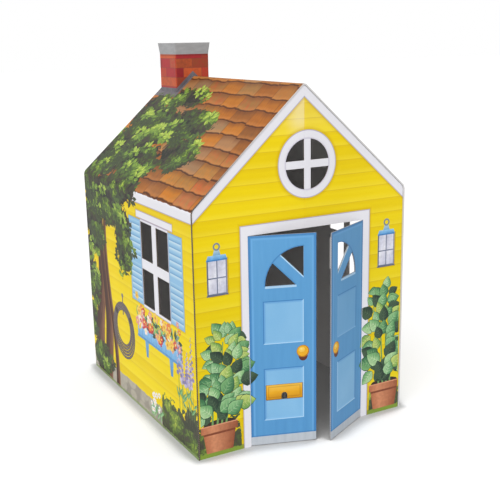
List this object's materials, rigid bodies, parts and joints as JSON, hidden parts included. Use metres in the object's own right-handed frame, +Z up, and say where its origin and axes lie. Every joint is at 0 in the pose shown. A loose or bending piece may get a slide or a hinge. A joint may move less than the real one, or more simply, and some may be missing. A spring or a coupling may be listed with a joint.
{
  "type": "cardboard playhouse",
  "caption": "Child's cardboard playhouse of folded card with a gable front, double doors that swing, cut-out windows, a mail flap and a chimney sleeve on the ridge.",
  "frame": {"origin": "on the floor, at the middle of the part's bounding box with its doors ajar", "axes": "+Z up, the doors and the gable front face -Y, +X to the right of someone facing the doors"},
  "size_m": [0.914, 1.219, 1.466],
  "materials": {
    "side_and_roof_card": "printed",
    "gable_card": "printed",
    "door_card": "printed",
    "flap_card": "printed",
    "chimney_card": "printed"
  },
  "bodies": {
    "house": {"roof_and_sides": "side_and_roof_card", "front_wall": "gable_card", "back_wall": "gable_card", "chimney": "chimney_card"},
    "left_leaf": {"left_door": "door_card"},
    "right_leaf": {"right_door": "door_card"},
    "letter_flap": {"mail_flap": "flap_card"}
  },
  "joints": [
    {"name": "left_door_swing", "type": "hinge", "parent": "house", "child": "left_leaf", "pos_m": [-0.238, -0.49445, 0], "axis": [0, 0, -1], "range_deg": [-18.5, 111.5]},
    {"name": "right_door_swing", "type": "hinge", "parent": "house", "child": "right_leaf", "pos_m": [0.262, -0.49445, 0], "axis": [0, 0, 1], "range_deg": [-27.5, 102.5]},
    {"name": "mail_flap_lift", "type": "hinge", "parent": "left_leaf", "child": "letter_flap", "pos_m": [-0.11718, -0.53488, 0.2384], "axis": [-0.9483, 0.3173, 0], "range_deg": [0, 110]}
  ]
}
